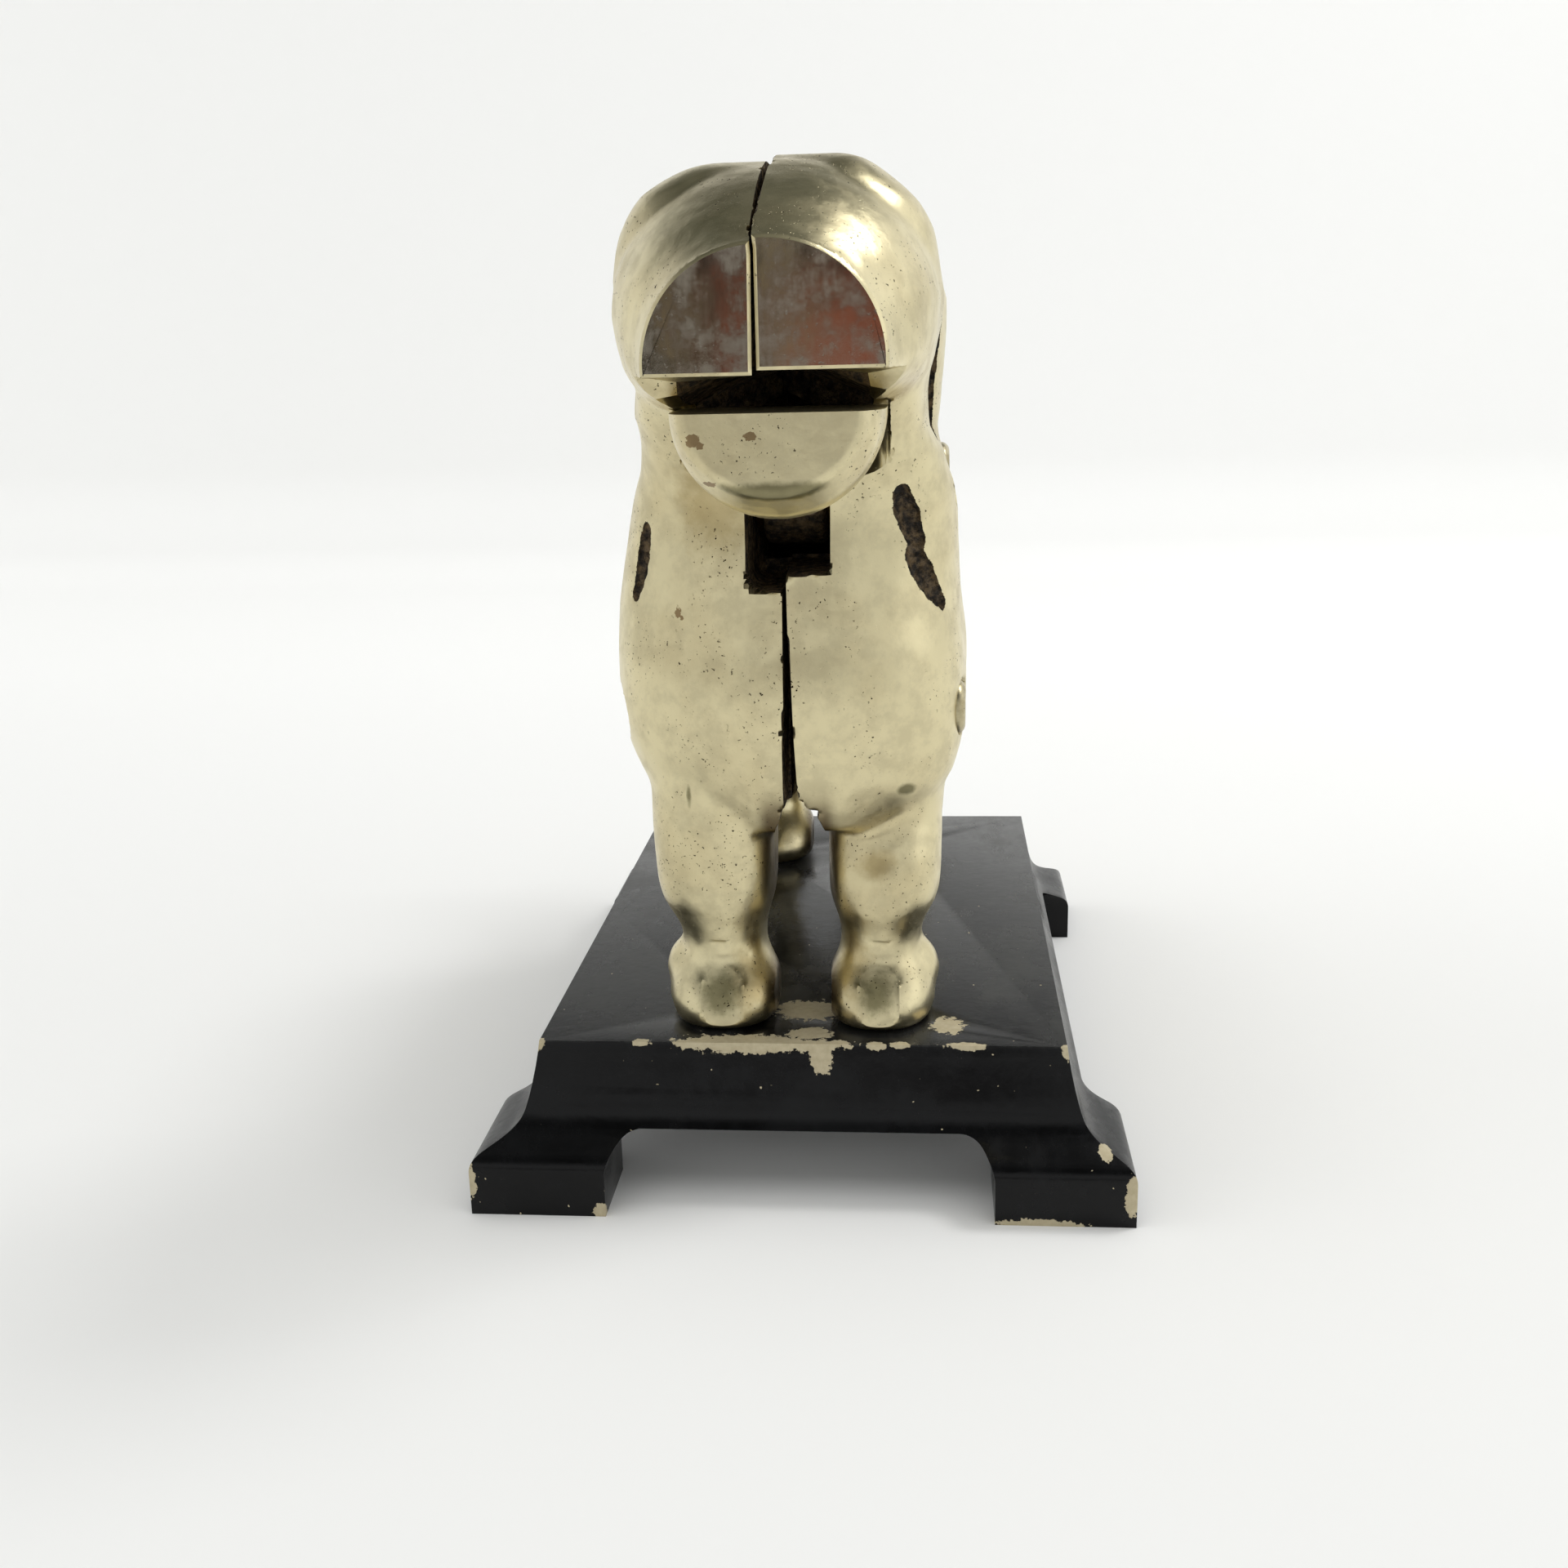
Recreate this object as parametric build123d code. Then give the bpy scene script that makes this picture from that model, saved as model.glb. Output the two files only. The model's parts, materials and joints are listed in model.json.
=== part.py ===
"""Animal nutcracker on a bracket-foot plinth: two riveted cast half-bodies with a jaw-and-tail lever between
them. Lifting the tail drops the lower jaw; pressing it down closes the jaw on the nut.

Frame: +Z up, -Y is the way the animal faces, X across it. The origin is on the table under the plinth's centre.
All sizes are in millimetres."""

import os

from build123d import *

# Plinth: a cast deck with a flared skirt, cut into four bracket feet
DECK_WIDTH = 66.0
DECK_LENGTH = 100.0
DECK_TOP = 20.0
DECK_THICKNESS = 5.0
FOOT_FLARE = 8.0
FOOT_BLOCK = 5.6
FOOT_SPAN = 17.0
ARCH_TOP = 9.6
ARCH_RADIUS = 4.2
SKIRT_WALL = 4.0
FRONT = -DECK_LENGTH / 2

# Half-bodies: levels are heights above the table, and stations run back from the deck's front edge
SEAM_GAP = 0.2
LEG_CENTRE = 10.0
LEG_INNER = 3.0
LEG_GAP_TOP = 48.0
FRONT_LEG_STATION = 12.0
FRONT_LEG_LEAN = 1.0
REAR_LEG_STATION = 80.0
REAR_LEG_LEAN = -3.0
MUZZLE_FRONT = -18.0
MUZZLE_RADIUS = 12.3
MOUTH_TOP = 102.0
HEAD_TOP = 124.0
HEAD_HALF = 17.7
THROAT_FRONT = 0.6

# Lever: a plate that swings in the slot between the halves, with the jaw ahead of it and the tail behind
PIVOT_STATION = 16.0
PIVOT_LEVEL = 88.3
SLOT_HALF = 4.7
LEVER_HALF = 3.9
JAW_TOP = 97.4
JAW_HALF = 10.2
JAW_FRONT = -16.0
JAW_FLARE = 1.4
JAW_FLARE_LENGTH = 6.0
JAW_REAR = 0.0
JAW_REAR_SWING = 17.6
HUB_RADIUS = 7.0

# Pins and fasteners
PIN_RADIUS = 3.0
RUNNING_CLEARANCE = 0.05
RIVET_RADIUS = 2.5
HEAD_LIP = 0.9
HEAD_HEIGHT = 1.2
SEAT_CLEARANCE = 0.4
SCREW_RADIUS = 2.0
SCREW_HEAD_RADIUS = 3.6
SCREW_HEAD_HEIGHT = 2.6
SCREW_ENGAGEMENT = 9.0
WASHER_RADIUS = 4.5
WASHER_THICKNESS = 0.8

# Each rivet: station, level, and how far out from the seam its head seats
RIVETS = {
    "chest_rivet": (13.0, 60.0, 19.4),
    "belly_rivet": (46.0, 55.0, 16.4),
    "haunch_rivet": (80.0, 57.5, 18.7),
}
PIVOT_SEAT = 17.4

# Each foot of the animal: where its screw comes up, across and as a station
FEET = {
    "front_left": (-LEG_CENTRE, FRONT_LEG_STATION),
    "front_right": (LEG_CENTRE, FRONT_LEG_STATION),
    "rear_left": (-LEG_CENTRE, REAR_LEG_STATION),
    "rear_right": (LEG_CENTRE, REAR_LEG_STATION),
}


def along(station):
    """The Y of a station, counted back from the deck's front edge."""
    return FRONT + station


def slab(x0, x1, s0, s1, z0, z1):
    """A box between two X limits, two stations and two levels."""
    centre = ((x0 + x1) / 2, (along(s0) + along(s1)) / 2, (z0 + z1) / 2)
    return Pos(*centre) * Box(x1 - x0, s1 - s0, z1 - z0)


def cross_rod(radius, x0, x1, station, level):
    """A cylinder along X between two X limits."""
    centre = ((x0 + x1) / 2, along(station), level)
    return Pos(*centre) * Rot(0, 90, 0) * Cylinder(radius, x1 - x0)


def column(sections):
    """A loft up through rounded sections: level, centre X, centre station, half-width, half-depth, corner share."""
    faces = []
    for level, x, station, half_width, half_depth, round_share in sections:
        radius = round_share * min(half_width, half_depth)
        outline = RectangleRounded(2 * half_width, 2 * half_depth, radius)
        faces.append(Pos(x, along(station), level) * outline)
    return loft(faces)


def barrel(sections):
    """A loft back through rounded sections: station, centre level, half-width, half-height, corner share."""
    faces = []
    for station, level, half_width, half_height, round_share in sections:
        radius = round_share * min(half_width, half_height)
        outline = RectangleRounded(2 * half_width, 2 * half_height, radius)
        faces.append(Pos(0, along(station), level) * Rot(90, 0, 0) * outline)
    return loft(faces)


# ---------------------------------------------------------------- plinth
def skirt(half, length):
    """One way's moulded profile, from the vertical foot block through an ogee to the deck, extruded the other way."""
    block = half + FOOT_FLARE
    waist = (half + 1.9, ARCH_TOP + 1.8)
    with BuildSketch(Plane.XZ) as profile:
        with BuildLine():
            Polyline((0, DECK_TOP), (0, 0), (block, 0), (block, FOOT_BLOCK))
            Spline((block, FOOT_BLOCK), (half + 5.4, 8.3), waist, tangents=[(0, 1), (-0.35, 1)])
            Spline(waist, (half + 0.8, 15.5), (half, DECK_TOP), tangents=[(-0.35, 1), (-0.12, 1)])
            Line((half, DECK_TOP), (0, DECK_TOP))
        make_face()
    side = extrude(profile.sketch, amount=length / 2, both=True)
    return side + side.mirror(Plane.YZ)


def plinth():
    across = skirt(DECK_WIDTH / 2, DECK_LENGTH + 4 * FOOT_FLARE)
    lengthways = Rot(0, 0, 90) * skirt(DECK_LENGTH / 2, DECK_WIDTH + 4 * FOOT_FLARE)
    body = across & lengthways
    arch_width = DECK_WIDTH + 2 * FOOT_FLARE - 2 * FOOT_SPAN
    arch_length = DECK_LENGTH + 2 * FOOT_FLARE - 2 * FOOT_SPAN
    reach = DECK_LENGTH + 4 * FOOT_FLARE
    front_arch = Box(arch_width, reach, 2 * ARCH_TOP)
    front_arch = fillet(front_arch.edges().filter_by(Axis.Y).group_by(Axis.Z)[-1], ARCH_RADIUS)
    side_arch = Box(reach, arch_length, 2 * ARCH_TOP)
    side_arch = fillet(side_arch.edges().filter_by(Axis.X).group_by(Axis.Z)[-1], ARCH_RADIUS)
    pocket_top = DECK_TOP - DECK_THICKNESS
    pocket = Box(DECK_WIDTH - 2 * SKIRT_WALL, DECK_LENGTH - 2 * SKIRT_WALL, 2 * pocket_top)
    pocket = fillet(pocket.edges().filter_by(Axis.Z), 3.0)
    body = body - front_arch - side_arch - pocket
    for x, station in FEET.values():
        hole = Cylinder(SCREW_RADIUS + 0.2, 2 * DECK_THICKNESS)
        body -= Pos(x, along(station), DECK_TOP - DECK_THICKNESS / 2) * hole
    return body


# ---------------------------------------------------------------- half-bodies
def leg(station, lean):
    """A leg on the +X side: hoof-like foot, slim pastern, and a shank that leans back by lean into the body."""
    x = LEG_CENTRE
    return column(
        [
            (DECK_TOP, x, station - 0.5, 6.0, 8.0, 0.8),
            (DECK_TOP + 3.5, x, station - 0.5, 6.8, 8.8, 0.9),
            (DECK_TOP + 9.5, x, station + 0.8, 4.9, 6.4, 0.9),
            (DECK_TOP + 17.0, x + 0.2, station + 0.6 * lean, 7.1, 8.8, 0.85),
            (DECK_TOP + 25.0, x + 0.2, station + lean, 7.3, 10.6, 0.85),
            (DECK_TOP + 33.0, x, station + lean, 7.0, 10.2, 0.85),
        ]
    )


def torso():
    trunk = barrel(
        [
            (4.0, 68.0, 15.0, 17.0, 0.8),
            (12.0, 71.0, 20.4, 23.5, 0.8),
            (30.0, 73.5, 20.8, 26.5, 0.8),
            (54.0, 74.0, 19.8, 26.0, 0.85),
            (76.0, 73.0, 21.0, 27.5, 0.85),
            (89.0, 71.5, 17.0, 22.0, 0.9),
            (94.0, 70.0, 11.0, 14.0, 0.9),
        ]
    )
    chest = column(
        [
            (47.0, 0, 13.5, 16.5, 11.5, 0.7),
            (57.0, 0, 14.8, 20.0, 14.8, 0.7),
            (70.0, 0, 16.3, 21.0, 16.7, 0.7),
            (83.0, 0, 17.0, 19.6, 14.8, 0.7),
            (95.0, 0, 15.6, 17.4, 14.4, 0.7),
            (104.0, 0, 13.0, 17.6, 12.6, 0.7),
        ]
    )
    return trunk + chest


def head():
    """The skull is a softened block; the muzzle is the upper half of a round snout, sawn flat in front and below."""
    outline = RectangleRounded(2 * HEAD_HALF, 34.0, 10.0)
    skull = extrude(Pos(0, along(10.5), 97.5) * outline, amount=HEAD_TOP - 97.5)
    skull = fillet(skull.edges().group_by(Axis.Z)[-1], 9.5)
    skull -= slab(-20, 20, -10, THROAT_FRONT, 90, MOUTH_TOP)
    muzzle_reach = 20.0
    muzzle = Rot(90, 0, 0) * Cylinder(MUZZLE_RADIUS, muzzle_reach)
    muzzle = Pos(0, along(MUZZLE_FRONT) + muzzle_reach / 2, MOUTH_TOP) * muzzle
    muzzle -= slab(-20, 20, MUZZLE_FRONT - 1, 30, MOUTH_TOP - 20, MOUTH_TOP)
    return skull + muzzle


def ear():
    """A drop ear lying against the side of the head."""
    flap = Pos(17.0, along(12.5), 105.0) * Rot(0, 90, 0) * Ellipse(11.5, 8.0)
    flap = extrude(flap, amount=1.9, dir=(1, 0, 0), both=True)
    return fillet(flap.edges().group_by(Axis.X)[-1], 1.4)


def swing_space():
    """The slot that the lever swings in, right through the back of the rump."""
    pivot = (along(PIVOT_STATION), PIVOT_LEVEL)
    front = slab(-SLOT_HALF, SLOT_HALF, -8.0, PIVOT_STATION, 77.4, 98.0)
    hub = cross_rod(HUB_RADIUS + 1.5, -SLOT_HALF, SLOT_HALF, PIVOT_STATION, PIVOT_LEVEL)
    with BuildSketch(Plane.YZ) as side:
        with BuildLine():
            Polyline(
                (pivot[0] - 4, pivot[1] - 8.4),
                (along(62), 66.6),
                (along(100), 64.2),
                (along(100), 110),
                (along(82), 104.0),
                (along(62), 96.4),
                (pivot[0] - 4, pivot[1] + 8.4),
                (pivot[0] - 4, pivot[1] - 8.4),
            )
        make_face()
    rear = extrude(side.sketch, amount=SLOT_HALF, both=True)
    return front + hub + rear


def hollow():
    """The cored-out belly that lightens each casting."""
    core = slab(-13.5, 13.5, 26.5, 72.0, 63.5, 91.5)
    return fillet(core.edges(), 5.0)


def rivet_seat(radius, seat, station, level):
    """A through hole and a flat counterbore for the peened head on the +X flank."""
    hole = cross_rod(radius, -1.0, seat + 8.0, station, level)
    return hole + cross_rod(radius + HEAD_LIP + SEAT_CLEARANCE, seat, seat + 8.0, station, level)


def right_half():
    animal = torso() + head()
    animal += leg(FRONT_LEG_STATION, FRONT_LEG_LEAN) + leg(REAR_LEG_STATION, REAR_LEG_LEAN)
    animal += ear()
    mouth_pocket = fillet(slab(-9.7, 9.7, -8.0, 9.0, 90.0, MOUTH_TOP).edges().filter_by(Axis.Z), 2.5)
    animal = animal - swing_space() - hollow() - mouth_pocket
    animal -= rivet_seat(PIN_RADIUS, PIVOT_SEAT, PIVOT_STATION, PIVOT_LEVEL)
    for station, level, seat in RIVETS.values():
        animal -= rivet_seat(RIVET_RADIUS, seat, station, level)
    for station in (FRONT_LEG_STATION, REAR_LEG_STATION):
        tapped = Cylinder(SCREW_RADIUS, 2 * (SCREW_ENGAGEMENT + 1.0))
        animal -= Pos(LEG_CENTRE, along(station), DECK_TOP) * tapped
    gap_between_legs = slab(-LEG_INNER, LEG_INNER, -20, 110, 0, LEG_GAP_TOP)
    other_side = slab(-60, SEAM_GAP, -40, 120, 0, 140)
    return animal - gap_between_legs - other_side


# ---------------------------------------------------------------- lever
def lever():
    """One casting: the bowl-shaped lower jaw, the neck and hub, the plate inside the body, and the tail."""
    flare_end = JAW_FRONT + JAW_FLARE_LENGTH
    flare = Rot(90, 0, 0) * Cone(JAW_HALF + JAW_FLARE, JAW_HALF, JAW_FLARE_LENGTH)
    bowl = Pos(0, along(JAW_FRONT + JAW_FLARE_LENGTH / 2), JAW_TOP) * flare
    barrel_length = JAW_REAR - flare_end
    rear = Rot(90, 0, 0) * Cylinder(JAW_HALF + JAW_FLARE, barrel_length)
    bowl += Pos(0, along(flare_end + barrel_length / 2), JAW_TOP) * rear
    bowl -= slab(-20, 20, -30, 10, JAW_TOP, JAW_TOP + 20)
    bowl -= cross_rod(JAW_REAR_SWING, -20, 20, PIVOT_STATION, PIVOT_LEVEL)
    neck = slab(-LEVER_HALF, LEVER_HALF, -4.0, PIVOT_STATION, 85.2, 94.0)
    hub = cross_rod(HUB_RADIUS, -LEVER_HALF, LEVER_HALF, PIVOT_STATION, PIVOT_LEVEL)
    with BuildSketch(Plane.YZ) as side:
        with BuildLine():
            Polyline(
                (along(PIVOT_STATION - 1.5), PIVOT_LEVEL + 6.6),
                (along(62), 76.6),
                (along(94), 73.6),
                (along(94), 65.0),
                (along(62), 67.4),
                (along(PIVOT_STATION - 1.5), PIVOT_LEVEL - 6.6),
                (along(PIVOT_STATION - 1.5), PIVOT_LEVEL + 6.6),
            )
        make_face()
    plate = extrude(side.sketch, amount=LEVER_HALF, both=True)
    body = bowl + neck + hub + plate + tail()
    return body - cross_rod(PIN_RADIUS + RUNNING_CLEARANCE, -10, 10, PIVOT_STATION, PIVOT_LEVEL)


def tail():
    """The tail rises from the rump in a tapering curve; round sections square to that curve."""
    path = Spline(
        (0, along(88), 69.3),
        (0, along(101), 71.5),
        (0, along(111.5), 83.0),
        (0, along(113.5), 99.0),
        (0, along(112.5), 113.0),
        tangents=[(0, 1, -0.02), (0, -0.15, 1)],
    )
    radii = [4.1, 4.3, 4.6, 4.4, 3.9, 3.5, 3.7]
    faces = []
    for index, radius in enumerate(radii):
        share = index / (len(radii) - 1)
        faces.append(Plane(path @ share, z_dir=path % share) * Circle(radius))
    tip = Pos(*(path @ 1)) * Sphere(radii[-1])
    return loft(faces) + tip


# ---------------------------------------------------------------- pins, rivets, screws
def peened_rod(radius, seat, station, level):
    """A rod through both halves with a low domed head at each end."""
    rod = cross_rod(radius, -seat, seat, station, level)
    head_right = cross_rod(radius + HEAD_LIP, seat, seat + HEAD_HEIGHT, station, level)
    head_right = fillet(head_right.edges().group_by(Axis.X)[-1], 0.9 * HEAD_HEIGHT)
    return rod + head_right + head_right.mirror(Plane.YZ)


def pivot_washer():
    """A thrust washer that takes up the slot's side play; this is the +X one."""
    disc = cross_rod(HUB_RADIUS - 0.5, LEVER_HALF + 0.05, SLOT_HALF, PIVOT_STATION, PIVOT_LEVEL)
    return disc - cross_rod(PIN_RADIUS, 0, 10, PIVOT_STATION, PIVOT_LEVEL)


def base_screw(x, station):
    """A slotted cheese-head screw, up through the deck into a foot."""
    under_head = DECK_TOP - DECK_THICKNESS - WASHER_THICKNESS
    tip = DECK_TOP + SCREW_ENGAGEMENT
    shank = Pos(0, 0, (under_head + tip) / 2) * Cylinder(SCREW_RADIUS, tip - under_head)
    head_disc = Pos(0, 0, under_head - SCREW_HEAD_HEIGHT / 2) * Cylinder(SCREW_HEAD_RADIUS, SCREW_HEAD_HEIGHT)
    head_disc = fillet(head_disc.edges().group_by(Axis.Z)[0], 0.6)
    screw = shank + head_disc
    screw -= Pos(0, 0, under_head - SCREW_HEAD_HEIGHT) * Box(10, 1.0, 2.2)
    return Pos(x, along(station), 0) * screw


def base_washer(x, station):
    ring = Cylinder(WASHER_RADIUS, WASHER_THICKNESS) - Cylinder(SCREW_RADIUS + 0.2, 2 * WASHER_THICKNESS)
    level = DECK_TOP - DECK_THICKNESS - WASHER_THICKNESS / 2
    return Pos(x, along(station), level) * ring


def main():
    os.makedirs("parts", exist_ok=True)
    half = right_half()
    washer = pivot_washer()
    nodes = {
        "plinth": plinth(),
        "body_half_right": half,
        "body_half_left": half.mirror(Plane.YZ),
        "jaw_tail_lever": lever(),
        "pivot_pin": peened_rod(PIN_RADIUS, PIVOT_SEAT, PIVOT_STATION, PIVOT_LEVEL),
        "pivot_washer_right": washer,
        "pivot_washer_left": washer.mirror(Plane.YZ),
    }
    for name, (station, level, seat) in RIVETS.items():
        nodes[name] = peened_rod(RIVET_RADIUS, seat, station, level)
    for corner, (x, station) in FEET.items():
        nodes[f"base_screw_{corner}"] = base_screw(x, station)
        nodes[f"base_washer_{corner}"] = base_washer(x, station)
    for name, shape in nodes.items():
        export_step(shape, f"parts/{name}.step")
        print(name, "solids", len(shape.solids()), "volume", round(shape.volume))


main()
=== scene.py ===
"""Looks of a cast nutcracker in the shape of a standing animal, on a lacquered plinth with bracket feet."""

import json
import math

import bmesh
import bpy
from mathutils import Euler, Matrix, Vector
from mathutils.bvhtree import BVHTree


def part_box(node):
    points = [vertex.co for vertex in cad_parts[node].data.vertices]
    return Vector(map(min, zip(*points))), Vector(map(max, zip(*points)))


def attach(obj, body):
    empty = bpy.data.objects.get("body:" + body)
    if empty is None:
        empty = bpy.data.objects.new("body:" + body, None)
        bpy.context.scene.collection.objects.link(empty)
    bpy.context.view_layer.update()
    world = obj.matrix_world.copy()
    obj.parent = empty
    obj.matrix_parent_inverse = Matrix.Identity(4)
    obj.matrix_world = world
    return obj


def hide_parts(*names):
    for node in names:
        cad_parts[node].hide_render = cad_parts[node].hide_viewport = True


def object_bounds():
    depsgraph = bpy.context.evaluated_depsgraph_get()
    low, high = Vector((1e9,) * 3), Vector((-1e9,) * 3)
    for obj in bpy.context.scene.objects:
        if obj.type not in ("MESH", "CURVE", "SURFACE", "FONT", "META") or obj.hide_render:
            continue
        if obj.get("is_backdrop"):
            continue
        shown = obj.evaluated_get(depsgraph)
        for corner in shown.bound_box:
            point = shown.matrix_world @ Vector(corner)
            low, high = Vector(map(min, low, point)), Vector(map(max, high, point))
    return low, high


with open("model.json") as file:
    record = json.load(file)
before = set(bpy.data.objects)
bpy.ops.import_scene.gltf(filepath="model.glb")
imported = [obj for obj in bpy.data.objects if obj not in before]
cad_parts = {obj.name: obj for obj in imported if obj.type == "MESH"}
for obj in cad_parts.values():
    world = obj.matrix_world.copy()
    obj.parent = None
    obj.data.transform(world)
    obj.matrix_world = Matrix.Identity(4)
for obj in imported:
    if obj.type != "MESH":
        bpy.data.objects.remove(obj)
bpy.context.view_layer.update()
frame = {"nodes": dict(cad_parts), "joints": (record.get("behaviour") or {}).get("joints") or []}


# ---------------------------------------------------------------- The plinth
# One iron casting with a moulded skirt and bracket feet, filed at its edges and dipped in black lacquer. The
# lacquer is worn through to pale metal along the deck's front edge, round the hooves and on the corners.

MM = 0.001
EDGE_WEAR = 0.45
DECK_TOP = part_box("plinth")[1].z / MM
DECK_FRONT = -50.0
LACQUER = "#070708"
LACQUER_SCUFFED = "#1b1c1e"
DECK_HAZE = "#3b3b39"
BARE_METAL = "#cdc3a6"
BARE_METAL_DULL = "#a79a7c"
SMOOTH = {"interpolation_type": "SMOOTHSTEP"}
TIMES = {"operation": "MULTIPLY"}
PLUS = {"operation": "ADD"}
MINUS = {"operation": "SUBTRACT"}
LARGER = {"operation": "MAXIMUM"}
BLEND = {"data_type": "RGBA", "out": 2}


def linear(hex_colour):
    """An sRGB hex colour as linear red, green, blue and alpha."""
    parts = [int(hex_colour[i : i + 2], 16) / 255 for i in (1, 3, 5)]
    return (*[c / 12.92 if c <= 0.04045 else ((c + 0.055) / 1.055) ** 2.4 for c in parts], 1.0)


def add(tree, kind, inputs=None, out=0, **settings):
    """A shader node with its settings, constants and links, handed back as the output wanted of it."""
    made = tree.nodes.new("ShaderNode" + kind)
    for key, value in settings.items():
        setattr(made, key, value)
    for socket, value in (inputs or {}).items():
        if isinstance(value, bpy.types.NodeSocket):
            tree.links.new(value, made.inputs[socket])
        else:
            made.inputs[socket].default_value = value
    return made.outputs[out]


def material(name):
    """An empty node material, its tree, places on the piece in millimetres, and its surface shader."""
    made = bpy.data.materials.new(name)
    made.use_nodes = True
    tree = made.node_tree
    place = add(tree, "TexCoord", out="Object")
    where = add(tree, "VectorMath", {0: place, "Scale": 1 / MM}, operation="SCALE")
    return made, tree, where, tree.nodes["Principled BSDF"]


def grain(tree, where, size, detail=2.0, rough=0.5, stretch=(1, 1, 1)):
    """Noise from 0 to 1 whose lumps are about size millimetres across."""
    pulled = add(tree, "VectorMath", {0: where, 1: stretch}, **TIMES)
    return add(tree, "TexNoise", {"Vector": pulled, "Scale": 1 / size, "Detail": detail, "Roughness": rough})


def patches(tree, where, places, waver, waver_size, edge=0.04):
    """1 inside any of some ellipsoids, 0 outside, with ragged edges. Each is (centre, radii)."""
    rag = add(tree, "TexNoise", {"Vector": where, "Scale": 1 / waver_size, "Detail": 4.0, "Roughness": 0.65})
    wandering = add(tree, "Math", {0: rag, 1: waver}, **TIMES)
    outer, inner = 1 + edge + waver / 2, 1 - edge + waver / 2
    inside = None
    for centre, radii in places:
        away = add(tree, "VectorMath", {0: where, 1: centre}, **MINUS)
        shares = add(tree, "VectorMath", {0: away, 1: [1 / r for r in radii]}, **TIMES)
        length = add(tree, "VectorMath", {0: shares}, out="Value", operation="LENGTH")
        ragged = add(tree, "Math", {0: length, 1: wandering}, **PLUS)
        this = add(tree, "MapRange", {0: ragged, 1: outer, 2: inner}, **SMOOTH)
        inside = this if inside is None else add(tree, "Math", {0: inside, 1: this}, **LARGER)
    return inside


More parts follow.
